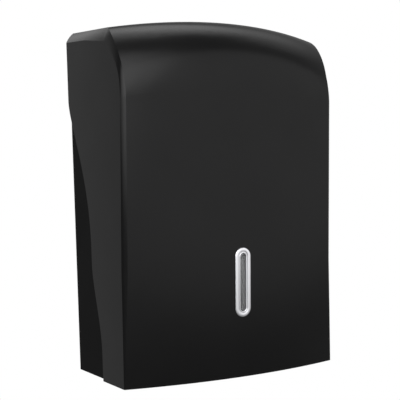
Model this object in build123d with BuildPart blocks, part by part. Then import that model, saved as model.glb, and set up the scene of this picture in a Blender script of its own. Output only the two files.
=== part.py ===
from build123d import *
import math
import os

os.makedirs("parts", exist_ok=True)

# Wall-mounted dispenser for folded paper towels, in millimetres and degrees.
# X runs across the wall, -Y points out from the wall into the room and Z is up.
# The origin is the middle of the four wall screws, on the face that meets the wall.
# Heights named below are measured from the cover's foot.

# ---------------------------------------------------------------- driving sizes
# Cover, outside form
cover_width = 259.0
foot_depth = 132.4  # wall to the cover's side corner, at its foot
front_lean = 3.65  # the front leans out towards the top
side_height = 386.0  # foot to the top of the side, at the wall
top_slope = 7.56  # the top falls away from the wall
front_bow = 18.3  # the front is this much deeper on the centre line
top_crown = 12.3  # the top is this much higher on the centre line
nose_back = 43.5  # the rounded nose runs this far back along the top
nose_down = 71.0  # and this far down the front
nose_fullness = (0.6, 0.6)  # towards the front and the top: 0.55 is an ellipse, more is squarer
side_nose_fullness = (0.5, 0.45)  # the same at the sides
cover_wall = 2.6
# Size of the blend between the cover's side and its front and top: across, then down the side
foot_blend = (0.7, 0.7)
front_blend = (4.6, 4.2)
front_blend_start = 118.0  # height where the blend has grown to its full front size
# the same at even steps over the nose, from the front to the top
nose_blends = (
    (4.6, 2.9),
    (4.1, 3.2),
    (3.6, 3.9),
    (2.6, 6.6),
    (1.7, 9.4),
    (1.2, 10.9),
    (1.2, 11.9),
    (2.2, 12.8),
    (3.5, 13.5),
)
shoulder_depth = 57.0  # halfway from the nose to the wall
shoulder_blend = (6.4, 9.8)
top_blend = (9.25, 9.8)
blend_softness = 0.2  # how far the blend bulges: 0 is a flat facet
blend_overrun = 1.5  # the blend's cutter passes both ends of the blend by this much
smallest_blend = 0.4
# Rear edge of the cover's side, which sweeps forward in two waves
edge_leaves_wall = 310.0
waist_depth = 55.5
waist_top = 140.0
waist_bottom = 125.0
heel_depth = 76.5
heel_top = 30.0
upper_wave = (30.0, 86.0)  # how far the upper wave holds on to its start and end directions
lower_wave = (27.0, 34.0)

# Housing behind the cover
cover_gap = 0.5  # cover to housing, all round
housing_wall = 2.6
housing_foot = 1.2  # the housing's floor is this much above the cover's foot
side_wall_depth = 72.0  # how far the housing's sides stand out at mid height
side_wall_heel = 34.0  # height where the sides' front edge starts to sweep back
side_wall_waist = 130.0
side_wall_shoulder = 290.0
roof_depth = 46.0
roof_corner = 345.0  # height where the sides reach the roof's depth
screw_spacing_across = 150.0
screw_spacing_up = 220.0
screw_centre_height = 192.5
wall_screw_hole = 5.5
wall_screw_pad = 15.0
wall_screw_pad_height = 2.0
back_ribs = (-45.0, -15.0, 15.0, 45.0)
back_rib_width = 2.0
back_rib_height = 1.6
back_rib_ends = (22.0, 352.0)

# Hinge at the foot of the cover
hinge_height = 9.0
hinge_to_skin = 9.5  # hinge axis to the inside of the cover's front, at the side
hinge_sweep_gap = 0.5
pin_diameter = 4.0
pin_play = 0.15  # on diameter, in the cover's ears
ear_thickness = 4.0
ear_radius = 6.4
ear_gusset = 20.0  # the ear runs this far up the cover's front, above the axis
ear_side_gap = 0.4
ear_slot_gap = 2.0  # behind the ear, in the housing's floor
cheek_thickness = 3.2
cheek_radius = 7.0
pin_end = 0.2  # the pin stands out of the cheek by this much
cheek_foot = 14.0  # behind the axis
seat_play = 0.04  # on diameter, where a pin or screw is held fast

# Paper tray
tray_side_gap = 2.8  # to the hinge cheeks
tray_thickness = 2.4
tray_front_gap = 5.0  # tray and floor to the inside of the cover's front
tray_front_height = 32.0
tray_back_gap = 1.0
outlet_length = 164.0
outlet_width = 36.0
outlet_centre_depth = 74.0
outlet_lip = 2.4
outlet_gap = 0.6  # lip to the opening in the housing's floor
finger_notch = 58.0  # diameter of the wide middle of the outlet
outlet_round = 1.8
edge_band = 0.1  # edges are picked when they lie within this of their place

# Side guides for the stack
guide_side_gap = 5.8  # to the housing's sides
guide_thickness = 2.0
guide_depth = 58.0
guide_bottom = 14.0
guide_top = 286.0
guide_foot = 20.0
guide_flare = 5.0

# Self-tapping screws
screw_shank = 2.9
screw_head = 6.4
screw_head_height = 2.2
screw_cross = 3.4
screw_cross_width = 0.8
screw_cross_depth = 1.2
screw_clearance = 3.3  # diameter of the hole in the piece that a screw holds down
tray_screw_length = 4.8
guide_screw_length = 4.4
window_screw_length = 5.0
tray_screw_depths = (24.0, 112.0)
tray_screw_edge = 9.0  # screw axis to the tray's side edge
guide_screw_heights = (52.0, 248.0)

# Sight window
window_height = 101.0
bezel_width = 18.9
bezel_height = 73.6
bezel_rise = 1.5
slot_width = 6.6
slot_height = 61.4
bezel_ring = 4.0  # width of the outer ring, up to the groove
bezel_groove = 0.8
bezel_groove_depth = 0.7
bezel_sleeve_wall = 1.0
window_fit = 0.1  # sleeve in its hole and lens in its seat, each side
sleeve_width = 13.4
bezel_lip = 2.3  # thickness of the frame in front of the lens
lens_thickness = 1.5
lens_pad_drop = 0.5  # the lens's raised middle lies this far below the bezel's face
lens_pad_chamfer = 1.2
retainer_thickness = 1.8
retainer_width = 20.0
retainer_post_height = 2.5
retainer_post_diameter = 6.5
retainer_post_spacing = 92.0
retainer_ledge = 2.0  # its opening is wider than the slot by this much
bezel_sleeve_end = 1.3  # sleeve behind the lens

# Cam lock in the top
lock_depth = 32.0  # wall to the lock's axis
lock_seat = 24.0  # diameter of the flat seat
lock_seat_drop = 1.75  # below the cover's top at the lock's axis
lock_boss = 30.0
lock_boss_thickness = 3.4
lock_head = 19.0
lock_head_height = 1.6
lock_body = 16.0
lock_body_flat = 14.0
lock_body_length = 17.0
lock_plug_diameter = 11.6
lock_plug_play = 0.1  # on diameter
lock_plug_head = 13.0
lock_plug_head_height = 1.4
lock_plug_recess = 0.3  # the plug's face lies below the head's
lock_nut_width = 20.0
lock_nut_height = 3.0
lock_washer_thickness = 0.8
keyway_length = 8.0
keyway_width = 1.8
keyway_depth = 12.0
wafer_count = 5
wafer_thickness = 0.6
wafer_pitch = 1.6
wafer_gap = 0.08
wafer_top_gap = 1.2  # first wafer to the plug's head
wafer_length = 8.8
wafer_width = 6.8
wafer_window = 3.2
cam_thickness = 2.0
cam_reach = 23.0
cam_width = 8.0
cam_hub = 15.0
cam_square = 7.0
cam_gap = 0.3
cam_screw_shank = 4.0
cam_screw_head = 8.0
cam_screw_head_height = 2.6
cam_screw_length = 5.0
cam_washer_thickness = 0.8
cam_washer_diameter = 11.0
keeper_gap = 0.8
keeper_drop = 19.0
keeper_width = 20.0
lock_notch_gap = 1.2

overrun = 5.0  # cutters pass faces by this much

# ---------------------------------------------------------------- worked out from them
half_width = cover_width / 2
foot = -screw_centre_height
lean = math.tan(math.radians(front_lean))
slope = math.tan(math.radians(top_slope))
housing_inset = cover_wall + cover_gap
housing_half = half_width - housing_inset
housing_inner_half = housing_half - housing_wall
floor_top = housing_foot + housing_wall

inner_skin = cover_wall / math.cos(math.radians(front_lean))
hinge_depth = foot_depth + lean * hinge_height - inner_skin - hinge_to_skin
hinge_radius = hinge_to_skin - hinge_sweep_gap
floor_drop = hinge_height - housing_foot
floor_corner_depth = hinge_depth + math.sqrt(hinge_radius**2 - floor_drop**2)
floor_nose_depth = hinge_depth + hinge_to_skin + front_bow - tray_front_gap

ear_outer = housing_inner_half - ear_side_gap
ear_inner = ear_outer - ear_thickness
cheek_outer = ear_inner - ear_side_gap
cheek_inner = cheek_outer - cheek_thickness
ear_slot_back = hinge_depth - ear_radius - ear_slot_gap

tray_half_width = cheek_inner - tray_side_gap
tray_screw_across = tray_half_width - tray_screw_edge
guide_inner_half = housing_inner_half - guide_side_gap - guide_thickness
guide_screw_across = guide_inner_half - guide_foot / 2
guide_screw_spacing = guide_screw_heights[1] - guide_screw_heights[0]

lock_top = side_height + top_crown - slope * lock_depth
seat_height = lock_top - lock_seat_drop
lock_body_bottom = seat_height - lock_body_length
cam_top = lock_body_bottom - cam_gap
cam_bottom = cam_top - cam_thickness
notch_half = lock_boss / 2 + lock_notch_gap


def side_plane(x):
    """Upright plane across the dispenser at x: local x is world Y, local y is height above the foot."""
    return Plane(origin=(x, 0, foot), x_dir=(0, 1, 0), z_dir=(1, 0, 0))


def wall_plane(depth):
    """Plane parallel to the wall, seen from the room: local x is world X, local y is height."""
    return Plane(origin=(0, -depth, foot), x_dir=(1, 0, 0), z_dir=(0, -1, 0))


def level_plane(height):
    """Level plane at a height above the foot."""
    return Plane.XY.offset(foot + height)


def bow_at(x):
    """Share of the front bow and top crown that is left at x: 1 on the centre line, 0 at the side."""
    return 1 - (x / half_width) ** 2


# ---------------------------------------------------------------- form of the cover
def outline_lines(bow, inset):
    """Depth of the front line at the foot and height of the top line at the wall, moved in by inset."""
    front_depth = foot_depth + front_bow * bow - inset / math.cos(math.radians(front_lean))
    top_height = side_height + top_crown * bow - inset / math.cos(math.radians(top_slope))
    return front_depth, top_height


def nose_curve(bow, inset, fullness):
    """Control points (y, height) of a nose that joins the front line to the top line."""
    front_depth, top_height = outline_lines(bow, inset)
    height = (top_height - slope * front_depth) / (1 + slope * lean)
    tip = Vector(-front_depth - lean * height, height)
    start = tip + Vector(lean, -1).normalized() * (nose_down - inset)
    end = tip + Vector(1, slope).normalized() * (nose_back - inset)
    return start, start + (tip - start) * fullness[0], end + (tip - end) * fullness[1], end


def nose_points(bow, inset):
    """The four control points (y, height) of the nose curve, from the front up and back to the top."""
    side = nose_curve(0, inset, side_nose_fullness)
    centre = nose_curve(1, inset, nose_fullness)
    return [at_side * (1 - bow) + at_centre * bow for at_side, at_centre in zip(side, centre)]


def nose_at(bow, inset, t):
    """Point and direction (y, height) on the nose curve, t from 0 at the front to 1 at the top."""
    p0, p1, p2, p3 = nose_points(bow, inset)
    s = 1 - t
    point = p0 * s**3 + p1 * (3 * s * s * t) + p2 * (3 * s * t * t) + p3 * t**3
    direction = (p1 - p0) * (s * s) + (p2 - p1) * (2 * s * t) + (p3 - p2) * (t * t)
    return point, direction.normalized()


def side_outline(x, inset, back, bottom):
    """Face of the cover's side outline at x: foot, front, nose, top and back."""
    front_depth, top_height = outline_lines(bow_at(x), inset)
    p0, p1, p2, p3 = nose_points(bow_at(x), inset)
    with BuildSketch(side_plane(x)) as outline:
        with BuildLine():
            Line((back, bottom), (-front_depth - lean * bottom, bottom))
            Line((-front_depth - lean * bottom, bottom), (p0.X, p0.Y))
            Bezier((p0.X, p0.Y), (p1.X, p1.Y), (p2.X, p2.Y), (p3.X, p3.Y))
            Line((p3.X, p3.Y), (back, top_height + slope * back))
            Line((back, top_height + slope * back), (back, bottom))
        make_face()
    return outline.sketch


def blend_runs(back, bottom):
    """Stations of the side blend in three runs: (outline's front, nose or top, place on it, blend size)."""
    half_grown = tuple((a + b) / 2 for a, b in zip(foot_blend, front_blend))
    run_up = [
        ("front", bottom - overrun, foot_blend),
        ("front", front_blend_start / 2, half_grown),
        ("front", front_blend_start, front_blend),
    ]
    over_nose = [("nose", step / (len(nose_blends) - 1), size) for step, size in enumerate(nose_blends)]
    to_wall = [("top", -shoulder_depth, shoulder_blend), ("top", back + overrun, top_blend)]
    return run_up, over_nose, to_wall


def edge_point(kind, place, bow, inset):
    """Point and direction (y, height) on the side outline's front, nose or top."""
    front_depth, top_height = outline_lines(bow, inset)
    if kind == "front":
        return Vector(-front_depth - lean * place, place), Vector(-lean, 1).normalized()
    if kind == "top":
        return Vector(place, top_height + slope * place), Vector(1, slope).normalized()
    return nose_at(bow, inset, place)


def blend_section(kind, place, size, inset):
    """Face across the cover's side edge, outside the blend: its inner edge is the blend's soft arc."""
    half = half_width - inset
    across, down = size
    # the blend of an inner surface shrinks so that the wall keeps its thickness
    shrink = 1 - inset * (1 / across + 1 / down - math.hypot(1 / across, 1 / down))
    across = max(across * shrink, smallest_blend)
    down = max(down * shrink, smallest_blend)
    point, direction = edge_point(kind, place, bow_at(half), inset)
    inward, _ = edge_point(kind, place, bow_at(half - across), inset)
    rise = (inward - point).dot(Vector(-direction.Y, direction.X))
    low = Vector(0, -down)
    high = Vector(across, rise)
    along = (high - low).normalized()
    bulge = blend_softness * across * down / (across + down)
    middle = (low + high) * 0.5 + Vector(-along.Y, along.X) * bulge
    low_end = low - along * blend_overrun
    high_end = high + along * blend_overrun
    corner = Vector(-overrun, rise + overrun)
    plane = Plane(
        origin=(-half, point.X, foot + point.Y), x_dir=(1, 0, 0), z_dir=(0, -direction.X, -direction.Y)
    )
    with BuildSketch(plane) as section:
        with BuildLine():
            Line((low_end.X, low_end.Y), (low.X, low.Y))
            ThreePointArc((low.X, low.Y), (middle.X, middle.Y), (high.X, high.Y))
            Line((high.X, high.Y), (high_end.X, high_end.Y))
            Line((high_end.X, high_end.Y), (corner.X, corner.Y))
            Line((corner.X, corner.Y), (low_end.X, low_end.Y))
        make_face()
    return section.sketch


def blend_cutter(inset, back, bottom):
    """Solid that takes the corner between the side (-X) and the front and top off a hood."""
    run_up, over_nose, to_wall = (
        [blend_section(*station, inset) for station in run] for run in blend_runs(back, bottom)
    )
    with BuildPart() as cutter:
        loft(run_up + over_nose[:1], ruled=True)
        loft(over_nose)
        loft(over_nose[-1:] + to_wall, ruled=True)
    return cutter.part


def hood(inset, back, bottom):
    """Solid of the cover's form moved in by inset, cut flat at a back plane and a bottom plane."""
    half = half_width - inset
    cutter = blend_cutter(inset, back + overrun, bottom - overrun)
    outlines = [side_outline(half * share, inset, back + overrun, bottom - overrun) for share in (-1, 0, 1)]
    with BuildPart() as form:
        loft(outlines)
        add(cutter, mode=Mode.SUBTRACT)
        add(cutter.mirror(Plane.YZ), mode=Mode.SUBTRACT)
        split(bisect_by=Plane(origin=(0, back, 0), z_dir=(0, -1, 0)))
        split(bisect_by=level_plane(bottom))
    return form.part


# ---------------------------------------------------------------- front cover
outer_form = hood(0, 0, 0)
inner_form = hood(cover_wall, overrun, -overrun)

with BuildPart() as lock_boss_form:
    with BuildSketch(level_plane(seat_height - lock_boss_thickness)):
        with Locations((0, -lock_depth)):
            Circle(lock_boss / 2)
    extrude(amount=lock_boss_thickness + 2 * overrun)
    add(outer_form, mode=Mode.INTERSECT)

window_plane = Plane(
    origin=(0, -foot_depth - front_bow - lean * window_height, foot + window_height),
    x_dir=(1, 0, 0),
    z_dir=(0, -1, -lean),
)
window_axis = Axis(window_plane.origin, window_plane.z_dir)
post_end = -cover_wall - retainer_post_height
sleeve_height = bezel_height - (bezel_width - sleeve_width)
ear_skin_depth = foot_depth + front_bow * bow_at((ear_inner + ear_outer) / 2) - cover_wall / 2

with BuildPart() as front_cover:
    add(outer_form)
    add(inner_form, mode=Mode.SUBTRACT)
    with BuildSketch(side_plane(-half_width - overrun)) as behind_rear_edge:
        with BuildLine():
            Bezier(
                (0, edge_leaves_wall),
                (0, edge_leaves_wall - upper_wave[0]),
                (-waist_depth, waist_top + upper_wave[1]),
                (-waist_depth, waist_top),
            )
            Line((-waist_depth, waist_top), (-waist_depth, waist_bottom))
            Bezier(
                (-waist_depth, waist_bottom),
                (-waist_depth, waist_bottom - lower_wave[0]),
                (-heel_depth, heel_top + lower_wave[1]),
                (-heel_depth, heel_top),
            )
            Polyline(
                (-heel_depth, heel_top),
                (-heel_depth, -overrun),
                (overrun, -overrun),
                (overrun, edge_leaves_wall),
                (0, edge_leaves_wall),
            )
        make_face()
    extrude(amount=cover_width + 2 * overrun, mode=Mode.SUBTRACT)
    # hinge ears, inside the housing's sides
    for ear_start in (-ear_outer, ear_inner):
        with BuildSketch(side_plane(ear_start)) as ear_shape:
            with Locations((-hinge_depth, hinge_height)):
                Circle(ear_radius)
            with BuildLine():
                Polyline(
                    (-hinge_depth, hinge_height - ear_radius),
                    (-ear_skin_depth - lean * hinge_height, hinge_height - ear_radius),
                    (-ear_skin_depth - lean * (hinge_height + ear_gusset), hinge_height + ear_gusset),
                    (-hinge_depth, hinge_height + ear_radius),
                    close=True,
                )
            make_face()
        extrude(amount=ear_thickness)
    with BuildSketch(side_plane(-half_width + cover_wall)) as ear_bore:
        with Locations((-hinge_depth, hinge_height)):
            Circle((pin_diameter + pin_play) / 2)
    extrude(amount=cover_width - 2 * cover_wall, mode=Mode.SUBTRACT)
    # flat seat for the lock, over a boss
    add(lock_boss_form.part)
    with BuildSketch(level_plane(seat_height)):
        with Locations((0, -lock_depth)):
            Circle(lock_seat / 2)
    extrude(amount=2 * overrun, mode=Mode.SUBTRACT)
    with BuildSketch(level_plane(seat_height - lock_boss_thickness)) as lock_hole:
        with Locations((0, -lock_depth)):
            Circle(lock_body / 2 + window_fit)
            Rectangle(lock_body_flat + 2 * window_fit, lock_body * 2, mode=Mode.INTERSECT)
    extrude(amount=lock_boss_thickness, mode=Mode.SUBTRACT)
    # hole for the sight window and posts for its retainer
    with BuildSketch(window_plane):
        SlotOverall(sleeve_height + 2 * window_fit, sleeve_width + 2 * window_fit, rotation=90)
    extrude(amount=overrun, both=True, mode=Mode.SUBTRACT)
    with BuildSketch(window_plane.offset(-cover_wall / 2)):
        with GridLocations(0, retainer_post_spacing, 1, 2):
            Circle(retainer_post_diameter / 2)
    extrude(amount=post_end + cover_wall / 2)
    with BuildSketch(window_plane.offset(post_end)):
        with GridLocations(0, retainer_post_spacing, 1, 2):
            Circle((screw_shank + seat_play) / 2)
    extrude(amount=window_screw_length - retainer_thickness + window_fit, mode=Mode.SUBTRACT)

# ---------------------------------------------------------------- back housing
housing_form = hood(housing_inset, 0, housing_foot)
cavity_form = hood(housing_inset + housing_wall, -housing_wall, floor_top)


def outlet_shape(grow):
    """Outline of the dispensing slot, wider in the middle for the fingers, enlarged by grow."""
    with BuildSketch() as outline:
        with Locations((0, -outlet_centre_depth)):
            SlotOverall(outlet_length + 2 * grow, outlet_width + 2 * grow)
            Circle(finger_notch / 2 + grow)
        corners = outline.vertices().filter_by(lambda v: abs(v.X) < outlet_length / 4)
        fillet(corners, outlet_width / 6)
    return outline.sketch


def tray_front(x):
    """How far the tray's front edge stands out from the wall at x."""
    return hinge_depth + hinge_to_skin + front_bow * bow_at(x) - tray_front_gap


keeper_start = notch_half + ear_side_gap
keeper_back = lock_depth + cam_width / 2 + keeper_gap
keeper_bottom = cam_bottom - keeper_gap * 3
keeper_roof = (
    side_height
    + top_crown * bow_at(keeper_start + keeper_width)
    - (housing_inset + housing_wall / 2) / math.cos(math.radians(top_slope))
    - slope * keeper_back
)

with BuildPart() as back_housing:
    add(housing_form)
    with BuildSketch(side_plane(-half_width)) as side_wall_shape:
        with BuildLine():
            Line((overrun, housing_foot), (-floor_corner_depth, housing_foot))
            RadiusArc(
                (-floor_corner_depth, housing_foot),
                (-hinge_depth - hinge_radius, hinge_height),
                hinge_radius,
            )
            Line((-hinge_depth - hinge_radius, hinge_height), (-hinge_depth - hinge_radius, side_wall_heel))
            Spline(
                (-hinge_depth - hinge_radius, side_wall_heel),
                (-side_wall_depth, side_wall_waist),
                tangents=((0, 1), (0, 1)),
            )
            Line((-side_wall_depth, side_wall_waist), (-side_wall_depth, side_wall_shoulder))
            Spline(
                (-side_wall_depth, side_wall_shoulder),
                (-roof_depth, roof_corner),
                tangents=((0, 1), (0, 1)),
            )
            Line((-roof_depth, roof_corner), (-roof_depth, side_height + top_crown))
            Line((-roof_depth, side_height + top_crown), (overrun, side_height + top_crown))
            Line((overrun, side_height + top_crown), (overrun, housing_foot))
        make_face()
    extrude(amount=cover_width, mode=Mode.INTERSECT)
    add(cavity_form, mode=Mode.SUBTRACT)
    with BuildSketch(side_plane(-housing_inner_half)) as open_front:
        with Locations((-roof_depth, floor_top)):
            Rectangle(cover_width, side_wall_shoulder, align=(Align.MAX, Align.MIN))
    extrude(amount=2 * housing_inner_half, mode=Mode.SUBTRACT)
    # floor, with a bowed front edge
    with BuildSketch(level_plane(housing_foot)) as floor_shape:
        with BuildLine():
            Line((-housing_half, -housing_wall), (-housing_half, -floor_corner_depth))
            ThreePointArc(
                (-housing_half, -floor_corner_depth),
                (0, -floor_nose_depth),
                (housing_half, -floor_corner_depth),
            )
            Line((housing_half, -floor_corner_depth), (housing_half, -housing_wall))
            Line((housing_half, -housing_wall), (-housing_half, -housing_wall))
        make_face()
    extrude(amount=housing_wall)
    with BuildSketch(level_plane(housing_foot)) as ear_slots:
        for side in (-1, 1):
            with Locations((side * (cheek_outer + housing_inner_half) / 2, -ear_slot_back)):
                Rectangle(
                    housing_inner_half - cheek_outer, hinge_depth, align=(Align.CENTER, Align.MAX)
                )
    extrude(amount=housing_wall, mode=Mode.SUBTRACT)
    with BuildSketch(level_plane(housing_foot)) as floor_opening:
        add(outlet_shape(outlet_lip + outlet_gap))
    extrude(amount=housing_wall, mode=Mode.SUBTRACT)
    # hinge cheeks on the floor
    for cheek_start in (-cheek_outer, cheek_inner):
        with BuildSketch(side_plane(cheek_start)) as cheek_shape:
            with Locations((-hinge_depth, hinge_height)):
                Circle(cheek_radius)
            with BuildLine():
                Polyline(
                    (-hinge_depth - cheek_radius, hinge_height),
                    (-hinge_depth - cheek_radius, floor_top - housing_wall / 2),
                    (-hinge_depth + cheek_foot, floor_top - housing_wall / 2),
                    (-hinge_depth + cheek_radius, hinge_height),
                    close=True,
                )
            make_face()
        extrude(amount=cheek_thickness)
    with BuildSketch(side_plane(-housing_half - overrun)) as pin_bore:
        with Locations((-hinge_depth, hinge_height)):
            Circle((pin_diameter + seat_play) / 2)
    extrude(amount=2 * (housing_half + overrun), mode=Mode.SUBTRACT)
    # notch in the roof for the lock, and the keepers beside it
    with BuildSketch(level_plane(roof_corner)) as lock_notch:
        with Locations((0, -lock_depth)):
            Circle(notch_half)
            Rectangle(2 * notch_half, 2 * roof_depth, align=(Align.CENTER, Align.MAX))
    extrude(amount=side_height + top_crown - roof_corner, mode=Mode.SUBTRACT)
    with BuildSketch(level_plane(keeper_bottom)) as keepers:
        for side in (-1, 1):
            with Locations((side * (keeper_start + keeper_width / 2), -keeper_back)):
                Rectangle(keeper_width, housing_wall, align=(Align.CENTER, Align.MAX))
            with Locations((side * (keeper_start + keeper_width - housing_wall / 2), -housing_wall / 2)):
                Rectangle(housing_wall, keeper_back, align=(Align.CENTER, Align.MAX))
    extrude(amount=keeper_roof - keeper_bottom)
    # back wall: ribs that the towels slide on, pads for the wall screws
    with BuildSketch(wall_plane(housing_wall)) as ribs:
        for x in back_ribs:
            with Locations((x, (back_rib_ends[0] + back_rib_ends[1]) / 2)):
                SlotOverall(back_rib_ends[1] - back_rib_ends[0], back_rib_width, rotation=90)
    extrude(amount=back_rib_height)
    with BuildSketch(wall_plane(housing_wall)) as pads:
        with Locations((0, screw_centre_height)):
            with GridLocations(screw_spacing_across, screw_spacing_up, 2, 2):
                Circle(wall_screw_pad / 2)
    extrude(amount=wall_screw_pad_height)
    with BuildSketch(wall_plane(0)) as wall_screw_holes:
        with Locations((0, screw_centre_height)):
            with GridLocations(screw_spacing_across, screw_spacing_up, 2, 2):
                Circle(wall_screw_hole / 2)
        with Locations((0, (guide_screw_heights[0] + guide_screw_heights[1]) / 2)):
            with GridLocations(2 * guide_screw_across, guide_screw_spacing, 2, 2):
                Circle((screw_shank + seat_play) / 2)
    extrude(amount=housing_wall + wall_screw_pad_height, mode=Mode.SUBTRACT)
    with BuildSketch(level_plane(housing_foot)) as tray_screw_holes:
        with Locations((0, -sum(tray_screw_depths) / 2)):
            with GridLocations(2 * tray_screw_across, tray_screw_depths[1] - tray_screw_depths[0], 2, 2):
                Circle((screw_shank + seat_play) / 2)
    extrude(amount=housing_wall, mode=Mode.SUBTRACT)

# ---------------------------------------------------------------- paper tray
tray_back = -tray_back_gap - housing_wall
tray_corner = -tray_front(tray_half_width)

with BuildPart() as paper_tray:
    with BuildSketch(level_plane(floor_top)) as tray_plate:
        with BuildLine():
            Line((-tray_half_width, tray_back), (-tray_half_width, tray_corner))
            ThreePointArc(
                (-tray_half_width, tray_corner),
                (0, -tray_front(0)),
                (tray_half_width, tray_corner),
            )
            Line((tray_half_width, tray_corner), (tray_half_width, tray_back))
            Line((tray_half_width, tray_back), (-tray_half_width, tray_back))
        make_face()
    extrude(amount=tray_thickness)
    # low front wall that follows the plate's front edge
    with BuildSketch(level_plane(floor_top)) as tray_wall:
        with BuildLine():
            ThreePointArc(
                (-tray_half_width, tray_corner),
                (0, -tray_front(0)),
                (tray_half_width, tray_corner),
            )
            Line(
                (tray_half_width, tray_corner),
                (tray_half_width, tray_corner + tray_thickness),
            )
            ThreePointArc(
                (tray_half_width, tray_corner + tray_thickness),
                (0, -tray_front(0) + tray_thickness),
                (-tray_half_width, tray_corner + tray_thickness),
            )
            Line(
                (-tray_half_width, tray_corner + tray_thickness),
                (-tray_half_width, tray_corner),
            )
        make_face()
    extrude(amount=tray_front_height)
    with BuildSketch(level_plane(housing_foot)):
        add(outlet_shape(outlet_lip))
    extrude(amount=housing_wall + tray_thickness)
    with BuildSketch(level_plane(housing_foot)):
        add(outlet_shape(0))
    extrude(amount=housing_wall + tray_thickness, mode=Mode.SUBTRACT)
    lip_edges = paper_tray.edges().filter_by_position(
        Axis.Z, foot + floor_top + tray_thickness - edge_band, foot + floor_top + tray_thickness + edge_band
    )
    lip_edges = lip_edges.filter_by(lambda e: abs(e.center().X) < outlet_length / 2 + edge_band)
    lip_edges = lip_edges.filter_by(
        lambda e: abs(e.center().Y + outlet_centre_depth) < finger_notch / 2 + edge_band
    )
    fillet(lip_edges, outlet_round)
    with BuildSketch(level_plane(floor_top)):
        with Locations((0, -sum(tray_screw_depths) / 2)):
            with GridLocations(2 * tray_screw_across, tray_screw_depths[1] - tray_screw_depths[0], 2, 2):
                Circle(screw_clearance / 2)
    extrude(amount=tray_thickness, mode=Mode.SUBTRACT)


# ---------------------------------------------------------------- side guides
def paper_guide(side):
    """Side guide of the stack on side -1 or 1: a foot on the back wall and a fin with a flared front."""
    foot_y = -housing_wall - guide_thickness / 2
    fin_x = side * (guide_inner_half + guide_thickness / 2)
    with BuildPart() as guide:
        with BuildSketch(level_plane(guide_bottom)):
            with BuildLine() as path:
                FilletPolyline(
                    (side * (guide_inner_half - guide_foot), foot_y),
                    (fin_x, foot_y),
                    (fin_x, -guide_depth + 2 * guide_flare),
                    (fin_x + side * guide_flare, -guide_depth),
                    radius=guide_thickness * 1.5,
                )
            trace(path.edges(), guide_thickness)
        extrude(amount=guide_top - guide_bottom)
        with BuildSketch(wall_plane(housing_wall)):
            for height in guide_screw_heights:
                with Locations((side * guide_screw_across, height)):
                    Circle(screw_clearance / 2)
        extrude(amount=guide_thickness, mode=Mode.SUBTRACT)
    return guide.part


paper_guide_left = paper_guide(-1)
paper_guide_right = paper_guide(1)


# ---------------------------------------------------------------- screws and pins
def self_tapper(length):
    """Cross-head screw that points down -Z from the face under its head at Z = 0."""
    with BuildPart() as screw:
        with BuildSketch():
            Circle(screw_head / 2)
        extrude(amount=screw_head_height)
        chamfer(screw.faces().sort_by(Axis.Z)[-1].edges(), screw_head_height / 2)
        with BuildSketch():
            Circle(screw_shank / 2)
        extrude(amount=-length)
        chamfer(screw.faces().sort_by(Axis.Z)[0].edges(), screw_shank / 4)
        with BuildSketch(Plane.XY.offset(screw_head_height - screw_cross_depth)):
            Rectangle(screw_cross, screw_cross_width)
            Rectangle(screw_cross_width, screw_cross)
        extrude(amount=screw_cross_depth, mode=Mode.SUBTRACT)
    return screw.part


def hinge_pin(side):
    """Steel pin of the hinge on side -1 or 1, from the cheek out through the housing's side."""
    with BuildPart() as pin:
        with BuildSketch(side_plane(side * (cheek_inner - pin_end))):
            with Locations((-hinge_depth, hinge_height)):
                Circle(pin_diameter / 2)
        extrude(amount=side * (housing_half - cheek_inner))
        chamfer(pin.faces().filter_by(Axis.X).edges(), pin_diameter / 10)
    return pin.part


hinge_pin_left = hinge_pin(-1)
hinge_pin_right = hinge_pin(1)

tray_screw = self_tapper(tray_screw_length)
with BuildPart() as tray_screws:
    with Locations(level_plane(floor_top + tray_thickness)):
        with Locations((0, -sum(tray_screw_depths) / 2)):
            with GridLocations(2 * tray_screw_across, tray_screw_depths[1] - tray_screw_depths[0], 2, 2):
                add(tray_screw)

with BuildPart() as guide_screws:
    with Locations(wall_plane(housing_wall + guide_thickness)):
        with Locations((0, (guide_screw_heights[0] + guide_screw_heights[1]) / 2)):
            with GridLocations(2 * guide_screw_across, guide_screw_spacing, 2, 2):
                add(self_tapper(guide_screw_length))

# ---------------------------------------------------------------- sight window
lens_front = bezel_rise - bezel_lip
lens_back = lens_front - lens_thickness
sleeve_end = lens_back - bezel_sleeve_end
lens_seat_width = sleeve_width - 2 * bezel_sleeve_wall
lens_seat_height = sleeve_height - 2 * bezel_sleeve_wall
groove_outer = 2 * bezel_ring
groove_inner = 2 * (bezel_ring + bezel_groove)

with BuildPart() as window_bezel:
    with BuildSketch(window_plane):
        SlotOverall(bezel_height, bezel_width, rotation=90)
    extrude(amount=bezel_rise)
    fillet(window_bezel.faces().sort_by(window_axis)[-1].edges(), bezel_rise / 2)
    with BuildSketch(window_plane):
        SlotOverall(sleeve_height, sleeve_width, rotation=90)
    extrude(amount=sleeve_end)
    with BuildSketch(window_plane.offset(bezel_rise - bezel_groove_depth)):
        SlotOverall(bezel_height - groove_outer, bezel_width - groove_outer, rotation=90)
        SlotOverall(bezel_height - groove_inner, bezel_width - groove_inner, rotation=90, mode=Mode.SUBTRACT)
    extrude(amount=bezel_groove_depth, mode=Mode.SUBTRACT)
    with BuildSketch(window_plane.offset(sleeve_end)):
        SlotOverall(slot_height, slot_width, rotation=90)
    extrude(amount=bezel_rise - sleeve_end, mode=Mode.SUBTRACT)
    with BuildSketch(window_plane.offset(sleeve_end)):
        SlotOverall(lens_seat_height, lens_seat_width, rotation=90)
    extrude(amount=lens_front - sleeve_end, mode=Mode.SUBTRACT)

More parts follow.
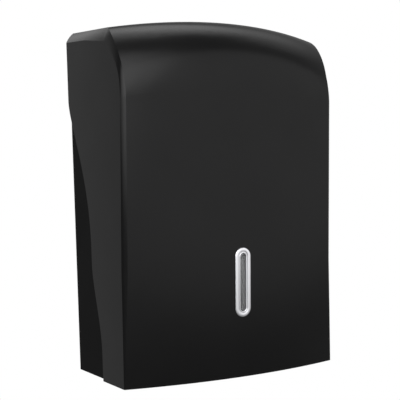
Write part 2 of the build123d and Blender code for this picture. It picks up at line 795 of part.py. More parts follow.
with BuildPart() as window_lens:
    with BuildSketch(window_plane.offset(lens_back)):
        SlotOverall(lens_seat_height - 2 * window_fit, lens_seat_width - 2 * window_fit, rotation=90)
    extrude(amount=lens_thickness)
    with BuildSketch(window_plane.offset(lens_front)):
        SlotOverall(slot_height - 2 * window_fit, slot_width - 2 * window_fit, rotation=90)
    extrude(amount=bezel_lip - lens_pad_drop)
    chamfer(window_lens.faces().sort_by(window_axis)[-1].edges(), lens_pad_chamfer)

with BuildPart() as window_retainer:
    with BuildSketch(window_plane.offset(post_end - retainer_thickness)):
        SlotOverall(retainer_post_spacing + retainer_width * 0.6, retainer_width, rotation=90)
    extrude(amount=retainer_thickness)
    with BuildSketch(window_plane.offset(post_end)):
        SlotOverall(lens_seat_height - 4 * window_fit, lens_seat_width - 4 * window_fit, rotation=90)
    extrude(amount=lens_back - post_end)
    with BuildSketch(window_plane.offset(post_end - retainer_thickness)):
        SlotOverall(slot_height + retainer_ledge, slot_width + retainer_ledge, rotation=90)
        with GridLocations(0, retainer_post_spacing, 1, 2):
            Circle(screw_clearance / 2)
    extrude(amount=lens_back - post_end + retainer_thickness, mode=Mode.SUBTRACT)

retainer_back = window_plane.offset(post_end - retainer_thickness)
with BuildPart() as window_screws:
    with Locations(Plane(origin=retainer_back.origin, x_dir=(1, 0, 0), z_dir=-retainer_back.z_dir)):
        with GridLocations(0, retainer_post_spacing, 1, 2):
            add(self_tapper(window_screw_length))

# ---------------------------------------------------------------- cam lock
body_bottom_plane = level_plane(lock_body_bottom)
lock_top_height = seat_height + lock_head_height
plug_top = lock_top_height - lock_plug_recess
plug_head_bottom = plug_top - lock_plug_head_height
wafer_slot = wafer_thickness + 2 * wafer_gap
wafer_tops = [plug_head_bottom - wafer_top_gap - index * wafer_pitch for index in range(wafer_count)]
square_bottom = cam_bottom + cam_gap / 3

with BuildPart() as lock_housing:
    with BuildSketch(level_plane(seat_height)):
        with Locations((0, -lock_depth)):
            Circle(lock_head / 2)
    extrude(amount=lock_head_height)
    chamfer(lock_housing.faces().sort_by(Axis.Z)[-1].edges(), lock_head_height / 3)
    with BuildSketch(body_bottom_plane):
        with Locations((0, -lock_depth)):
            Circle(lock_body / 2)
            Rectangle(lock_body_flat, lock_body, mode=Mode.INTERSECT)
    extrude(amount=lock_body_length)
    with BuildSketch(body_bottom_plane):
        with Locations((0, -lock_depth)):
            Circle((lock_plug_diameter + lock_plug_play) / 2)
    extrude(amount=lock_body_length + lock_head_height, mode=Mode.SUBTRACT)
    with BuildSketch(level_plane(plug_head_bottom - lock_plug_play)):
        with Locations((0, -lock_depth)):
            Circle((lock_plug_head + lock_plug_play) / 2)
    extrude(amount=lock_top_height - plug_head_bottom + lock_plug_play, mode=Mode.SUBTRACT)

with BuildPart() as lock_washer:
    with BuildSketch(level_plane(seat_height - lock_boss_thickness - lock_washer_thickness)):
        with Locations((0, -lock_depth)):
            Circle(lock_nut_width / 2 + lock_washer_thickness)
            Circle(lock_body / 2 + window_fit, mode=Mode.SUBTRACT)
    extrude(amount=lock_washer_thickness)

with BuildPart() as lock_nut:
    with BuildSketch(
        level_plane(seat_height - lock_boss_thickness - lock_washer_thickness - lock_nut_height)
    ):
        with Locations((0, -lock_depth)):
            RegularPolygon(lock_nut_width / 2, 6, major_radius=False)
            Circle((lock_body + seat_play) / 2, mode=Mode.SUBTRACT)
    extrude(amount=lock_nut_height)

with BuildPart() as lock_plug:
    with BuildSketch(body_bottom_plane):
        with Locations((0, -lock_depth)):
            Circle(lock_plug_diameter / 2)
    extrude(amount=plug_head_bottom - lock_body_bottom)
    with BuildSketch(level_plane(plug_head_bottom)):
        with Locations((0, -lock_depth)):
            Circle(lock_plug_head / 2)
    extrude(amount=lock_plug_head_height)
    chamfer(lock_plug.faces().sort_by(Axis.Z)[-1].edges(), lock_plug_head_height / 4)
    with BuildSketch(level_plane(square_bottom)):
        with Locations((0, -lock_depth)):
            Rectangle(cam_square, cam_square)
    extrude(amount=lock_body_bottom - square_bottom)
    with BuildSketch(level_plane(plug_top - keyway_depth)):
        with Locations((0, -lock_depth)):
            Rectangle(keyway_length, keyway_width)
    extrude(amount=keyway_depth, mode=Mode.SUBTRACT)
    for wafer_top in wafer_tops:
        with BuildSketch(level_plane(wafer_top - wafer_thickness - wafer_gap)):
            with Locations((0, -lock_depth)):
                Rectangle(wafer_length + 2 * wafer_gap, wafer_width + 2 * wafer_gap)
        extrude(amount=wafer_slot, mode=Mode.SUBTRACT)
    with BuildSketch(level_plane(square_bottom)):
        with Locations((0, -lock_depth)):
            Circle((cam_screw_shank + seat_play) / 2)
    extrude(amount=cam_screw_length, mode=Mode.SUBTRACT)

with BuildPart() as lock_wafers:
    for wafer_top in wafer_tops:
        with BuildSketch(level_plane(wafer_top - wafer_thickness)):
            with Locations((0, -lock_depth)):
                Rectangle(wafer_length, wafer_width)
                Rectangle(keyway_length + wafer_gap, wafer_window, mode=Mode.SUBTRACT)
        extrude(amount=wafer_thickness)

# at rest the lock is open and the cam points at the wall
with BuildPart() as lock_cam:
    with BuildSketch(level_plane(cam_bottom)):
        with Locations((0, -lock_depth)):
            Circle(cam_hub / 2)
            Rectangle(cam_width, cam_reach - cam_width / 2, align=(Align.CENTER, Align.MIN))
        with Locations((0, -lock_depth + cam_reach - cam_width / 2)):
            Circle(cam_width / 2)
        with Locations((0, -lock_depth)):
            Rectangle(cam_square + seat_play, cam_square + seat_play, mode=Mode.SUBTRACT)
    extrude(amount=cam_thickness)

with BuildPart() as cam_washer:
    with BuildSketch(level_plane(cam_bottom - cam_washer_thickness)):
        with Locations((0, -lock_depth)):
            Circle(cam_washer_diameter / 2)
            Circle(cam_screw_shank / 2 + window_fit, mode=Mode.SUBTRACT)
    extrude(amount=cam_washer_thickness)

with BuildPart() as cam_screw:
    with BuildSketch(level_plane(cam_bottom - cam_washer_thickness - cam_screw_head_height)):
        with Locations((0, -lock_depth)):
            Circle(cam_screw_head / 2)
    extrude(amount=cam_screw_head_height)
    chamfer(cam_screw.faces().sort_by(Axis.Z)[0].edges(), cam_screw_head_height / 3)
    with BuildSketch(level_plane(cam_bottom - cam_washer_thickness)):
        with Locations((0, -lock_depth)):
            Circle(cam_screw_shank / 2)
    extrude(amount=cam_washer_thickness + cam_screw_length)
    with BuildSketch(level_plane(cam_bottom - cam_washer_thickness - cam_screw_head_height)):
        with Locations((0, -lock_depth)):
            Rectangle(cam_screw_head * 0.6, screw_cross_width)
            Rectangle(screw_cross_width, cam_screw_head * 0.6)
    extrude(amount=screw_cross_depth, mode=Mode.SUBTRACT)

# ---------------------------------------------------------------- finished pieces
pieces = {
    "front_cover": front_cover.part,
    "window_bezel": window_bezel.part,
    "window_lens": window_lens.part,
    "window_retainer": window_retainer.part,
    "window_screws": window_screws.part,
    "lock_housing": lock_housing.part,
    "lock_washer": lock_washer.part,
    "lock_nut": lock_nut.part,
    "lock_plug": lock_plug.part,
    "lock_wafers": lock_wafers.part,
    "lock_cam": lock_cam.part,
    "cam_washer": cam_washer.part,
    "cam_screw": cam_screw.part,
    "back_housing": back_housing.part,
    "paper_tray": paper_tray.part,
    "tray_screws": tray_screws.part,
    "paper_guide_left": paper_guide_left,
    "paper_guide_right": paper_guide_right,
    "guide_screws": guide_screws.part,
    "hinge_pin_left": hinge_pin_left,
    "hinge_pin_right": hinge_pin_right,
}
for name, piece in pieces.items():
    piece.label = name
    export_step(piece, f"parts/{name}.step")
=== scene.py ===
# %% [markdown]
# # A wall dispenser for folded paper towels
#
# The dispenser is a black plastic hood that tips forward on two pins at its foot, over a
# plain back housing that is screwed to the wall. A small silver window in the front shows
# how many towels are left, and a cam lock in the top keeps the hood shut.
#
# The shapes of all these pieces come from CAD, at their real size. This lesson gives them
# their finishes, models the small pieces that need a finer mesh, and sets the light and
# the camera. Everything is in metres: X runs across the wall, -Y points into the room and
# Z is up.

# %% Load the CAD frame
import math

import bpy
from mathutils import Matrix, Vector


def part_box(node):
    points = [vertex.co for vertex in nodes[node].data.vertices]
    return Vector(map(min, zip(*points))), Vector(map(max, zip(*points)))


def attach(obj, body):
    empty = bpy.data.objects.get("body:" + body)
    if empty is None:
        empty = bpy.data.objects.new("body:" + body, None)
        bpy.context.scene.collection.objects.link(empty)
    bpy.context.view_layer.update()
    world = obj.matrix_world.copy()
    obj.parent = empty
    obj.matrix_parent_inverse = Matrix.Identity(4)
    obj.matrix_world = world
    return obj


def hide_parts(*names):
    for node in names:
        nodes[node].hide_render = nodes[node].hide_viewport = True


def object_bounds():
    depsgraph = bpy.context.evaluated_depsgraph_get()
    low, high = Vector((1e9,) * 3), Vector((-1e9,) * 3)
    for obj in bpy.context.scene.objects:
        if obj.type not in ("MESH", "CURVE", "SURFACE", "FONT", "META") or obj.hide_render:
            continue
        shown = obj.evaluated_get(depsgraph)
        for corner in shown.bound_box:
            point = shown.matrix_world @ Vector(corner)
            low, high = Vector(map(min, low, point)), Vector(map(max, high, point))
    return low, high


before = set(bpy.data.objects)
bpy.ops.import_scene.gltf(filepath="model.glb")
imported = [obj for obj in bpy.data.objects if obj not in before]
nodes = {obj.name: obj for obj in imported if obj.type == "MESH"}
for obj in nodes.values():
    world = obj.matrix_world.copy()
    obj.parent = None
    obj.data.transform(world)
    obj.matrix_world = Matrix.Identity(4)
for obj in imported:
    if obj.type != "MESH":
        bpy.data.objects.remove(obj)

cad_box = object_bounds()
print("CAD nodes:", len(nodes), "box:", cad_box)

# %% [markdown]
# ## Wires and networks
#
# A finish is a small network of nodes. Joining nodes by hand hides the sum that they make,
# so two short classes let us write a finish as plain Python. A `Wire` is one output of a
# node, and `grain * 0.4 + 0.3` adds the Math nodes for that sum. A `Network` holds the
# nodes of one finish or of the world, and its `node` method adds any other node: first its
# settings, then what goes into it.


# %% A wire that can be added and multiplied
class Wire:
    """One output of a node. A sum or product of wires adds the Math nodes that work it out."""

    def __init__(self, network, socket):
        self.network = network
        self.socket = socket

    def worked(self, operation, other):
        """The result of a Math node with this wire, and a number or another wire."""
        return self.network.node("ShaderNodeMath", {"operation": operation}, {0: self, 1: other})[0]

    def __add__(self, other):
        return self.worked("ADD", other)

    def __mul__(self, other):
        return self.worked("MULTIPLY", other)

    __radd__ = __add__
    __rmul__ = __mul__

    def or_larger(self, other):
        """The larger of this wire and another, point by point."""
        return self.worked("MAXIMUM", other)


# %% The outputs of a node
class Outputs:
    """The outputs of a node as wires, by number or by name."""

    def __init__(self, network, made):
        self.network = network
        self.made = made

    def __getitem__(self, key):
        return Wire(self.network, self.made.outputs[key])


# %% A network, and one method for all its nodes
class Network:
    """The nodes of a material or of the world, which end in one output node."""

    def __init__(self, owner, output_kind):
        self.owner = owner
        self.owner.use_nodes = True
        self.tree = self.owner.node_tree
        self.tree.nodes.clear()
        self.output = self.tree.nodes.new(output_kind)

    def node(self, kind, settings, inputs):
        """Adds a node: settings first, then a value or a Wire for each input."""
        made = self.tree.nodes.new(kind)
        for name, value in settings.items():
            setattr(made, name, value)
        for name, value in inputs.items():
            if isinstance(value, Wire):
                self.tree.links.new(value.socket, made.inputs[name])
            else:
                made.inputs[name].default_value = value
        return Outputs(self, made)

    def principled(self, inputs):
        """A Principled shader. Its inputs have the names that Blender shows."""
        return self.node("ShaderNodeBsdfPrincipled", {}, inputs)[0]

    def partly(self, amount, first, second):
        """A mix of two shaders, with amount of the second."""
        return self.node("ShaderNodeMixShader", {}, {0: amount, 1: first, 2: second})[0]

    def shows(self, shader):
        """Makes this shader the one that shows, and returns the material or world."""
        self.tree.links.new(shader.socket, self.output.inputs["Surface"])
        return self.owner


def new_finish(name):
    """An empty network for a new material."""
    return Network(bpy.data.materials.new(name), "ShaderNodeOutputMaterial")


# %% [markdown]
# ## Patterns on the surface
#
# Every pattern reads Object coordinates. The pieces sit at the origin unturned, so object
# coordinates are simply metres in the dispenser's own frame, and a scale of 1000 makes
# noise about 1 mm across. `cloudy` gives soft patches of any size: small ones are the
# grain of a mould or a plating, and large ones an unevenness of the whole surface. The
# same patches can tint a colour with `blend`, or raise the surface with `bumped`.


# %% Helpers for patterns
def cloudy(finish, size, detail=2.0):
    """Soft noise from 0 to 1 whose patches are about size metres across."""
    place = finish.node("ShaderNodeTexCoord", {}, {})["Object"]
    inputs = {"Vector": place, "Scale": 1 / size, "Detail": detail, "Roughness": 0.5}
    return finish.node("ShaderNodeTexNoise", {}, inputs)[0]


def blend(finish, amount, first, second):
    """Colour that runs from first to second as amount goes from 0 to 1."""
    settings = {"data_type": "RGBA", "clamp_factor": True}
    return finish.node("ShaderNodeMix", settings, {0: amount, 6: first, 7: second})[2]


def bumped(finish, height, depth):
    """Normal of a surface raised by height, where 1 stands for depth metres."""
    return finish.node("ShaderNodeBump", {}, {"Height": height, "Distance": depth})["Normal"]


def tinted(shade, tint):
    """An opaque colour: a grey shade, times a tint for red, green and blue."""
    return tuple(shade * part for part in tint) + (1,)


# %% [markdown]
# ## Black ABS for the hood
#
# The hood is injection-moulded ABS with a fine satin grain: near black, slightly soft in
# its shine, and with a faint unevenness that the eye only catches in the reflections.
# Sanding a mould can't make such an even grain, so toolmakers erode it with sparks, and
# the pattern has no direction. Noise gives that grain, and a broader noise varies the
# shine a little, as handling and the flow of the plastic do.
#
# A grained skin mirrors less than a polished one, also when seen from the side, because
# its tiny pits shade each other. One Principled shader with a low specular level still
# turns bright at a glancing angle. So the skin is a mix: a dull shader that mirrors
# nothing, and a shiny one that covers about a quarter of it.

# %% Satin black of the hood
flow_size = 0.06  # metres, the broad patches that the flow of the plastic leaves
darker_tint = (0.9, 0.9, 0.92)
lighter_tint = (1.1, 1.1, 1.13)
dull_roughness = 0.6
skin_ior = 1.3
shine_change = 0.04  # how far flow and grain each change the shine
grain_share = 0.02
finishes = {}


def black_plastic(name, shade, roughness, grain_size, grain_depth, shine):
    """Moulded black plastic whose skin mirrors on a share of its surface, from 0 to 1."""
    finish = new_finish(name)
    grain = cloudy(finish, grain_size, detail=3.0)
    flow = cloudy(finish, flow_size)
    colour = blend(finish, flow, tinted(shade, darker_tint), tinted(shade, lighter_tint))
    raised = bumped(finish, grain, grain_depth)
    skin = {"Base Color": colour, "Normal": raised}
    dull = finish.principled({**skin, "Roughness": dull_roughness, "Specular IOR Level": 0.0})
    worn = flow * shine_change + grain * shine_change + roughness
    shiny = finish.principled({**skin, "Roughness": worn, "IOR": skin_ior})
    mirrored = flow * shine_change + grain * grain_share + shine
    finishes[name] = finish.shows(finish.partly(mirrored, dull, shiny))


black_plastic(
    "cover_black", shade=0.004, roughness=0.18, grain_size=0.0006, grain_depth=0.00001, shine=0.26
)
print("finished so far:", ", ".join(finishes))

# %% [markdown]
# ## Matt black of the housing
#
# The housing is the same plastic from a coarser mould. It shines less, so beside the hood
# it looks flatter and a little darker. The tray, the guides and the window's retainer are
# moulded in a slightly greyer batch. Only the numbers differ, so both use the same recipe.


# %% Matt black of the housing and the inner pieces
def matt_black(name, shade, shine):
    """The same plastic from a coarser mould."""
    black_plastic(name, shade, roughness=0.4, grain_size=0.0009, grain_depth=0.00002, shine=shine)


matt_black("housing_black", shade=0.004, shine=0.08)
matt_black("inner_black", shade=0.008, shine=0.15)
print("finished so far:", ", ".join(finishes))

# %% [markdown]
# ## Silver, chrome, zinc and brass
#
# Bare metals differ in colour and in how finely they are worked. Satin silver on the
# window frame is a vacuum coating over plastic, with hardly any texture. Screws are
# zinc-plated and a little cloudy, and the lock is bright chrome over a brass core.

# %% Metals
cloud_shade = 0.86  # how dark the duller patches of a metal are, beside the clean ones
cloud_roughness = 0.12


def metal(name, colour, roughness, cloud_size, cloud_depth):
    """Bare or plated metal, a little cloudy in its colour and its shine."""
    finish = new_finish(name)
    cloud = cloudy(finish, cloud_size, detail=3.0)
    plated = finish.principled(
        {
            "Base Color": blend(finish, cloud, tinted(cloud_shade, colour), tinted(1, colour)),
            "Metallic": 1.0,
            "Roughness": cloud * cloud_roughness + roughness,
            "Normal": bumped(finish, cloud, cloud_depth),
        }
    )
    finishes[name] = finish.shows(plated)


metal("silver", (0.27, 0.27, 0.28), roughness=0.24, cloud_size=0.002, cloud_depth=0.000005)
metal("zinc_screws", (0.62, 0.64, 0.67), roughness=0.3, cloud_size=0.0008, cloud_depth=0.00001)
metal("steel", (0.52, 0.52, 0.54), roughness=0.28, cloud_size=0.0012, cloud_depth=0.000005)
metal("lock_chrome", (0.78, 0.78, 0.80), roughness=0.1, cloud_size=0.003, cloud_depth=0.000002)
metal("lock_brass", (0.76, 0.58, 0.28), roughness=0.25, cloud_size=0.001, cloud_depth=0.000005)
print("finished so far:", ", ".join(finishes))

# %% [markdown]
# ## Clear lens
#
# The lens is a smoky, see-through plastic. Only a little light comes back from the dark
# inside, so what shows is mostly the shine on its own surface. A faint ripple, as moulded
# acrylic has, keeps that shine from looking like glass. Acrylic bends light by 1.49. The
# value here is a little lower, because a scuffed face mirrors less than a new one.

# %% Clear plastic
ripple_size = 0.004
ripple_depth = 0.000004
ripple_roughness = 0.04
clear_roughness = 0.09
clear_ior = 1.42
clear_share = 0.85


def clear_plastic(name, dark, light):
    """Smoky plastic whose tint runs between two colours."""
    finish = new_finish(name)
    ripple = cloudy(finish, ripple_size)
    clear = finish.principled(
        {
            "Base Color": blend(finish, ripple, dark, light),
            "Roughness": ripple * ripple_roughness + clear_roughness,
            "IOR": clear_ior,
            "Transmission Weight": clear_share,
            "Normal": bumped(finish, ripple, ripple_depth),
        }
    )
    finishes[name] = finish.shows(clear)


clear_plastic("clear_lens", dark=(0.26, 0.27, 0.28, 1), light=(0.32, 0.33, 0.34, 1))
print("finished so far:", ", ".join(finishes))

# %% [markdown]
# ## Dress the CAD pieces
#
# Every CAD piece came with a plain material named for its slot in the record, perhaps with
# a dot and a number behind it. Swapping it for the finish of the same name dresses all the
# pieces in one loop, and leaves their shapes and places alone.

# %% Give every CAD piece its finish
for node in nodes.values():
    for slot in node.material_slots:
        slot.material = finishes[slot.material.name.split(".")[0]]
print("dressed pieces:", len(nodes))

# %% [markdown]
# ## The window frame
#
# The frame round the sight window is a small chromed moulding. Seen close it has a rounded
# outer ring, a thin groove and a narrower inner ring, and a sleeve behind it goes through
# the hood. A sweep along an oval path could make it. Here it starts as a round ring, whose
# outline is extruded and scaled step by step, like work on a lathe. Then its upper half
# moves up and its lower half down, and the ring becomes a long oval.


# %% Select and shape
def make_active(piece):
    """Selects one piece and nothing else."""
    bpy.ops.object.select_all(action="DESELECT")
    piece.select_set(True)
    bpy.context.view_layer.objects.active = piece


def select_points(piece, test):
    """Selects the points of a mesh that pass a test, and the edges and faces between them."""
    mesh = piece.data
    for vertex in mesh.vertices:
        vertex.select = test(vertex.co)
    for part in (*mesh.edges, *mesh.polygons):
        part.select = all(mesh.vertices[end].select for end in part.vertices)


def shape(piece, test, operator, **settings):
    """Runs one edit-mode operator on the points that pass a test."""
    select_points(piece, test)
    bpy.ops.object.mode_set(mode="EDIT")
    operator(**settings)
    bpy.ops.object.mode_set(mode="OBJECT")


# %% Lathe
def lathe(name, outline, segments=96):
    """Turns an outline of (radius, height) pairs in millimetres into a round shell."""
    radius, height = outline[0]
    half_step = math.pi / segments
    bpy.ops.object.select_all(action="DESELECT")
    bpy.ops.mesh.primitive_circle_add(
        vertices=segments, radius=radius / 1000, rotation=(0, 0, half_step)
    )
    piece = bpy.context.object
    piece.name = name
    bpy.ops.object.transform_apply(location=False, rotation=True, scale=False)
    bpy.ops.object.mode_set(mode="EDIT")
    bpy.ops.mesh.select_all(action="SELECT")
    bpy.ops.transform.translate(value=(0, 0, height / 1000))
    for next_radius, next_height in outline[1:]:
        step = (0, 0, (next_height - height) / 1000)
        bpy.ops.mesh.extrude_region_move(TRANSFORM_OT_translate={"value": step})
        scale = next_radius / radius
        bpy.ops.transform.resize(value=(scale, scale, 1))
        radius, height = next_radius, next_height
    bpy.ops.object.mode_set(mode="OBJECT")
    return piece


# %% Stretch, and close up
merge_distance = 0.000005
sharp_angle = math.radians(35)


def stretch_to_oval(piece, straight):
    """Parts the upper and lower half of a round piece by straight millimetres."""
    for side in (1, -1):
        step = (0, side * straight / 2000, 0)
        shape(piece, lambda point: point.y * side > 0, bpy.ops.transform.translate, value=step)


def close_up(piece):
    """Merges doubled points, closes open ends, turns faces outwards, smooths soft edges."""
    make_active(piece)
    bpy.ops.object.mode_set(mode="EDIT")
    bpy.ops.mesh.select_all(action="SELECT")
    bpy.ops.mesh.remove_doubles(threshold=merge_distance)
    bpy.ops.mesh.fill_holes(sides=0)
    bpy.ops.mesh.normals_make_consistent(inside=False)
    bpy.ops.object.mode_set(mode="OBJECT")
    bpy.ops.object.shade_smooth_by_angle(angle=sharp_angle)


# %% [markdown]
# ## A place on the sloping front
#
# The front leans back by a few degrees, so the window's pieces are modelled lying flat
# round the origin, where their outlines are easy to read, and are tipped up into place at
# the end. Applying that turn puts the place into the mesh, and the object itself stays at
# the origin, as the CAD pieces do.

# %% Put a piece on the front
window_middle = Vector((0, -0.1571427, -0.0915))  # on the outer face of the hood
front_lean = math.radians(3.65)
tip_up = Matrix.Rotation(math.radians(90) + front_lean, 4, "X")
window_place = Matrix.Translation(window_middle) @ tip_up


def settle(piece, place):
    """Moves a piece to its place, and puts that place into its mesh."""
    piece.matrix_world = place
    make_active(piece)
    bpy.ops.object.transform_apply(location=True, rotation=True, scale=True)


def stand_for(piece, body, node, slot):
    """Gives a settled piece its finish and its body, and hides the CAD node that it stands for."""
    piece.data.materials.clear()
    piece.data.materials.append(finishes[slot])
    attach(piece, body)
    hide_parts(node)
    print(piece.name, "faces:", len(piece.data.polygons))


# %% Window frame
frame_width = 18.9  # millimetres, over the outer ring
frame_height = 73.6
frame_outline = [
    (9.45, 0.0), (9.45, 0.45), (9.37, 0.78), (9.17, 1.06), (8.85, 1.28), (8.4, 1.42),
    (7.8, 1.49), (7.0, 1.5), (6.2, 1.46), (5.75, 1.38), (5.52, 1.25), (5.45, 1.05),
    (5.42, 0.8), (5.0, 0.76), (4.68, 0.8), (4.65, 1.05), (4.58, 1.28), (4.4, 1.42),
    (4.15, 1.48), (3.85, 1.46), (3.6, 1.34), (3.42, 1.12), (3.33, 0.8), (3.3, 0.4),
    (3.3, -0.8), (5.7, -0.8), (5.7, -3.6), (6.7, -3.6), (6.7, 0.0), (9.45, 0.0),
]
window_frame = lathe("window_frame", frame_outline)
stretch_to_oval(window_frame, frame_height - frame_width)
close_up(window_frame)
settle(window_frame, window_place)
stand_for(window_frame, "cover", "window_bezel", "silver")

# %% [markdown]
# ## The lens
#
# The lens is clear acrylic, clipped in behind the frame. Its middle stands up into the
# slot as a long pad with rounded edges and a shallow trough, and those edges catch two
# thin streaks of light. The same lathe and stretch make it. Its outline stops just short
# of the axis, because a ring can't be scaled to nothing, and closing up fills the small
# holes that are left.

# %% Lens
lens_outline = [
    (0.3, -2.3), (5.6, -2.3), (5.6, -0.8), (3.2, -0.8), (3.2, 0.25), (3.12, 0.55),
    (2.9, 0.8), (2.6, 0.95), (2.25, 1.0), (1.9, 0.95), (1.5, 0.82), (1.0, 0.7),
    (0.5, 0.64), (0.3, 0.63),
]
window_pane = lathe("window_pane", lens_outline)
stretch_to_oval(window_pane, frame_height - frame_width)
close_up(window_pane)
settle(window_pane, window_place)
stand_for(window_pane, "cover", "window_lens", "clear_lens")

# %% [markdown]
# ## Self-tapping screws
#
# Ten small zinc-plated screws hold the window, the tray and the paper guides. Each has a
# domed pan head with a cross in it and a coarse thread that cuts its own way into the
# plastic. The head and core come off the lathe, two tapered bars are cut out of the head
# for the cross, and the Screw modifier winds a small triangle up the core as the thread.


# %% Join pieces
def joined(pieces, name):
    """Joins pieces into one object."""
    make_active(pieces[0])
    for piece in pieces[1:]:
        piece.select_set(True)
    bpy.ops.object.join()
    pieces[0].name = name
    return pieces[0]


# %% The cross in the head
cross_length = 3.4  # millimetres, tip to tip
cross_width = 0.8
cross_depth = 1.6  # of the cutting bar, which starts above the head
cross_middle = 1.8
foot_share = (0.45, 0.8, 1)  # how much of its length and width a bar keeps at its foot


def tapered_bar(turn):
    """Cuts one half of the cross: a bar that narrows downwards, turned about the screw."""
    bpy.ops.object.select_all(action="DESELECT")
    bpy.ops.mesh.primitive_cube_add(size=0.001, location=(0, 0, cross_middle / 1000))
    bar = bpy.context.object
    size = (cross_length, cross_width, cross_depth)
    shape(bar, lambda point: True, bpy.ops.transform.resize, value=size)
    shape(bar, lambda point: point.z < 0, bpy.ops.transform.resize, value=foot_share)
    bar.rotation_euler.z = turn
    bpy.ops.object.transform_apply(location=True, rotation=True, scale=True)
    return bar


# %% The thread
thread_pitch = 1.1  # millimetres
thread_radius = 0.00119  # from the screw's axis to the middle of the triangle
thread_size = 0.00026
plain_tip = 0.4  # millimetres below the thread
plain_length = 1.0  # millimetres without thread, at both ends together
steps_per_turn = 20
quarter_turn = math.radians(90)


def thread(length):
    """A triangle wound up the shank, in the length below the head."""
    start = (thread_radius, 0, -(length - plain_tip) / 1000)
    bpy.ops.object.select_all(action="DESELECT")
    bpy.ops.mesh.primitive_circle_add(vertices=3, radius=thread_size, location=start)
    coil = bpy.context.object
    coil.rotation_euler = (quarter_turn, 0, 0)
    bpy.ops.object.transform_apply(location=True, rotation=True, scale=True)
    shape(
        coil, lambda point: True, bpy.ops.transform.rotate,
        value=-quarter_turn, orient_axis="Y", center_override=start,
    )
    winding = coil.modifiers.new("winding", "SCREW")
    winding.axis = "Z"
    winding.steps = steps_per_turn
    winding.render_steps = steps_per_turn
    winding.screw_offset = thread_pitch / 1000
    winding.iterations = int((length - plain_length) / thread_pitch)
    bpy.ops.object.modifier_apply(modifier="winding")
    return coil


# %% One screw
head_radius = 3.2  # millimetres
head_height = 2.2


def screw(name, length):
    """Cross-head screw that points down from the face under its head."""
    outline = [
        (0.15, head_height), (1.2, 2.18), (2.2, 2.0), (2.85, 1.6), (3.15, 1.05),
        (head_radius, 0.55), (head_radius, 0.15), (3.08, 0.0), (1.4, 0.0), (1.15, -0.3),
        (1.05, -0.6), (1.05, -length + 0.8), (0.55, -length + 0.15), (0.15, -length),
    ]
    body = lathe(name, outline, segments=32)
    close_up(body)
    cutter = joined([tapered_bar(0), tapered_bar(quarter_turn)], name + "_cutter")
    make_active(body)
    cut = body.modifiers.new("cross", "BOOLEAN")
    cut.object = cutter
    cut.solver = "EXACT"
    cut.use_self = True
    bpy.ops.object.modifier_apply(modifier="cross")
    bpy.data.objects.remove(cutter)
    coil = thread(length)
    close_up(coil)
    return joined([body, coil], name)


# %% [markdown]
# ## Where the screws go
#
# The screws of one CAD node become one piece. Each set is modelled once and copied, and
# every copy gets its own mesh. The places of the tray's and the guides' screws come from the
# box round their CAD screws: a screw stands one head radius in from each of its corners.
# The tray's screws go down through the tray into the housing's floor, the guides' screws go
# into the back wall, and the window's screws go from inside the hood into the bosses behind
# the frame, at a given reach above and below the window's middle.


# %% Screw sets
def screw_set(name, length, places, body, node):
    """Copies of one screw at places, as one piece that stands for a CAD node."""
    copies = [screw(name, length)]
    for _ in places[1:]:
        copy = copies[0].copy()
        copy.data = copies[0].data.copy()
        bpy.context.scene.collection.objects.link(copy)
        copies.append(copy)
    for copy, place in zip(copies, places):
        settle(copy, place)
    stand_for(joined(copies, name), body, node, "zinc_screws")


def inset_ends(low, high, axis):
    """The two places along an axis that lie a head radius inside a box."""
    inset = head_radius / 1000
    return low[axis] + inset, high[axis] - inset


# %% Screws of the tray
tray_low, tray_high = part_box("tray_screws")
tray_seat = tray_high[2] - head_height / 1000
tray_places = [
    Matrix.Translation((x, y, tray_seat))
    for x in inset_ends(tray_low, tray_high, 0)
    for y in inset_ends(tray_low, tray_high, 1)
]
tray_length = (tray_high[2] - tray_low[2]) * 1000 - head_height
screw_set("tray_tappers", tray_length, tray_places, "housing", "tray_screws")

# %% Screws of the paper guides
guide_low, guide_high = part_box("guide_screws")
guide_seat = guide_low[1] + head_height / 1000
towards_wall = Matrix.Rotation(quarter_turn, 4, "X")
guide_places = [
    Matrix.Translation((x, guide_seat, z)) @ towards_wall
    for x in inset_ends(guide_low, guide_high, 0)
    for z in inset_ends(guide_low, guide_high, 2)
]
guide_length = (guide_high[1] - guide_low[1]) * 1000 - head_height
screw_set("guide_tappers", guide_length, guide_places, "housing", "guide_screws")

# %% Screws of the window
window_screw_length = 5.0  # millimetres
window_screw_reach = 0.046  # from the middle of the window
window_screw_seat = -0.0069  # behind the hood's outer face
towards_front = Matrix.Rotation(2 * quarter_turn, 4, "X")
window_places = [
    window_place @ Matrix.Translation((0, reach, window_screw_seat)) @ towards_front
    for reach in (window_screw_reach, -window_screw_reach)
]
screw_set("window_tappers", window_screw_length, window_places, "cover", "window_screws")

# %% [markdown]
# ## Floor and background
#
# A wall dispenser hangs well above the floor, so the floor lies about a metre below it.
# Floor and surroundings are white. Light Path tells a ray that comes straight from the
# camera, or off a shiny or clear surface, from one that only gathers light: the first
# kind sees white, and the second a matt floor and a plain soft grey.

# %% Floor
floor_drop = 0.9  # below the dispenser's foot
floor_size = 24
bpy.ops.object.select_all(action="DESELECT")
bpy.ops.mesh.primitive_plane_add(size=floor_size, location=(0, 0, cad_box[0][2] - floor_drop))
floor = bpy.context.object
floor.name = "floor"
print("floor at", floor.location.z)


# %% White where it is seen
def white_when_seen(network, shaded, white):
    """Mixes a shader with plain white, which camera, glossy and transmission rays see."""
    ray = network.node("ShaderNodeLightPath", {}, {})
    seen = ray["Is Camera Ray"].or_larger(ray["Is Glossy Ray"])
    seen = seen.or_larger(ray["Is Transmission Ray"])
    return network.shows(network.partly(seen, shaded, white))


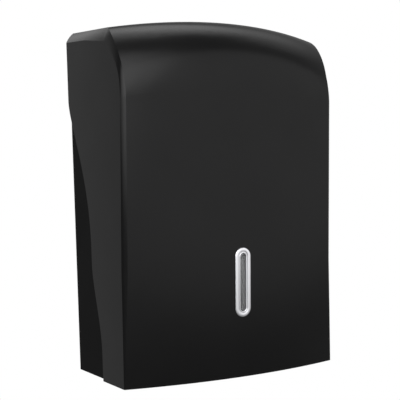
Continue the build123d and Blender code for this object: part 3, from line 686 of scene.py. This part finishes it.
# %% Paint of the floor
floor_colour = (0.82, 0.82, 0.82, 1)
paint = new_finish("floor_paint")
matt_floor = paint.node("ShaderNodeBsdfDiffuse", {}, {"Color": floor_colour})[0]
white_floor = paint.node("ShaderNodeEmission", {}, {"Strength": 1.0})[0]
floor.data.materials.append(white_when_seen(paint, matt_floor, white_floor))
print("floor paint:", floor.data.materials[0].name)

# %% World
sky = Network(bpy.data.worlds.new("studio"), "ShaderNodeOutputWorld")
grey_light = {"Color": (0.8, 0.8, 0.8, 1), "Strength": 0.2}
white_light = {"Color": (1, 1, 1, 1), "Strength": 1.0}
soft_grey = sky.node("ShaderNodeBackground", {}, grey_light)[0]
plain_white = sky.node("ShaderNodeBackground", {}, white_light)[0]
bpy.context.scene.world = white_when_seen(sky, soft_grey, plain_white)
print("world:", bpy.context.scene.world.name)

# %% [markdown]
# ## Lamps
#
# Black plastic hardly scatters any light: nearly all that we see of it is the lamps and
# the white room mirrored in its skin. So each lamp is placed by the direction from which
# it should be mirrored, as an azimuth (0 is straight ahead, positive to the right) and an
# elevation. A softbox with a grid is brightest in the middle and fades to its rim, which
# gives streaks without hard ends. Blender calls the angle of that grid the spread.
#
# Two kinds of lamp share the work. The matt lamp lights every surface at a plain level but
# isn't mirrored, and the shine lamps are mirrored but light nothing. Studios do the same
# with large faint panels around black objects. Lamps that are mirrored from the same
# direction would hide each other, so each has its own part of the sky.

# %% Soft lamp
lit_point = Vector((0, -0.08, 0.02))  # near the middle of the dispenser


def soft_lamp(name, azimuth, elevation, distance, width, height, radiance, spread, mirrored):
    """A soft rectangular lamp that faces the dispenser. Radiance 1 is as bright as white."""
    turn = math.radians(azimuth)
    rise = math.radians(elevation)
    ahead = math.cos(rise)
    outward = Vector((math.sin(turn) * ahead, -math.cos(turn) * ahead, math.sin(rise)))
    lamp = bpy.data.lights.new(name, "AREA")
    lamp.shape = "RECTANGLE"
    lamp.size = width
    lamp.size_y = height
    half_spread = math.radians(spread) / 2
    lamp.spread = 2 * half_spread
    gathered = math.tan(half_spread) / (math.tan(half_spread) - half_spread)
    lamp.energy = radiance * math.pi * width * height / gathered
    holder = bpy.data.objects.new(name, lamp)
    bpy.context.scene.collection.objects.link(holder)
    holder.location = lit_point + outward * distance
    holder.rotation_euler = (-outward).to_track_quat("-Z", "Y").to_euler()
    holder.visible_diffuse = not mirrored
    holder.visible_glossy = mirrored
    print("lamp", name, "power", round(lamp.energy, 1), "W")


# %% Set up the lamps
# Name, azimuth, elevation, distance, width, height, radiance, spread, mirrored.
for settings in (
    ("matt_lamp", -25, 40, 2.0, 1.2, 1.2, 8.0, 120, False),
    ("top_shine", 130, 82, 1.5, 1.7, 1.7, 13.0, 58, True),
    ("rim_shine", 92, 55, 2.2, 2.0, 2.0, 4.5, 50, True),
    ("back_shine", -168, 34, 2.2, 1.6, 1.6, 3.6, 42, True),
    ("key_shine", -42, 25, 1.5, 2.4, 1.65, 16.8, 92, True),
    ("fill_shine", 15, 12, 1.8, 6.0, 1.95, 3.6, 134, True),
):
    soft_lamp(*settings)

# %% [markdown]
# ## Camera
#
# The camera stands in front and to the left, level with the middle of the dispenser, and
# is turned a little about its own axis. It could be aimed with a Track To constraint, but
# that leaves no room for the small roll, so its three axes are worked out from the angles.

# %% Which way the camera looks
aim_point = Vector((0.00944, -0.052, -0.00223))
camera_distance = 1.00907
camera_left = math.radians(28.59)
camera_rise = math.radians(-0.42)
camera_roll = math.radians(-2.12)

level = math.cos(camera_rise)
forward = Vector(
    (math.sin(camera_left) * level, math.cos(camera_left) * level, -math.sin(camera_rise))
)
level_right = Vector((math.cos(camera_left), -math.sin(camera_left), 0))
level_up = level_right.cross(forward)
right = level_right * math.cos(camera_roll) + level_up * math.sin(camera_roll)
up = right.cross(forward)
print("camera looks along", forward)

# %% Camera
sensor_width = 36  # millimetres
camera_lens = 77.52
camera_data = bpy.data.cameras.new("camera")
camera_data.sensor_width = sensor_width
camera_data.lens = camera_lens
camera = bpy.data.objects.new("camera", camera_data)
bpy.context.scene.collection.objects.link(camera)
turned = Matrix((right, up, -forward)).transposed().to_4x4()
camera.matrix_world = Matrix.Translation(aim_point - forward * camera_distance) @ turned
bpy.context.scene.camera = camera
bpy.context.scene.view_settings.view_transform = "Standard"
print("camera at", camera.location)
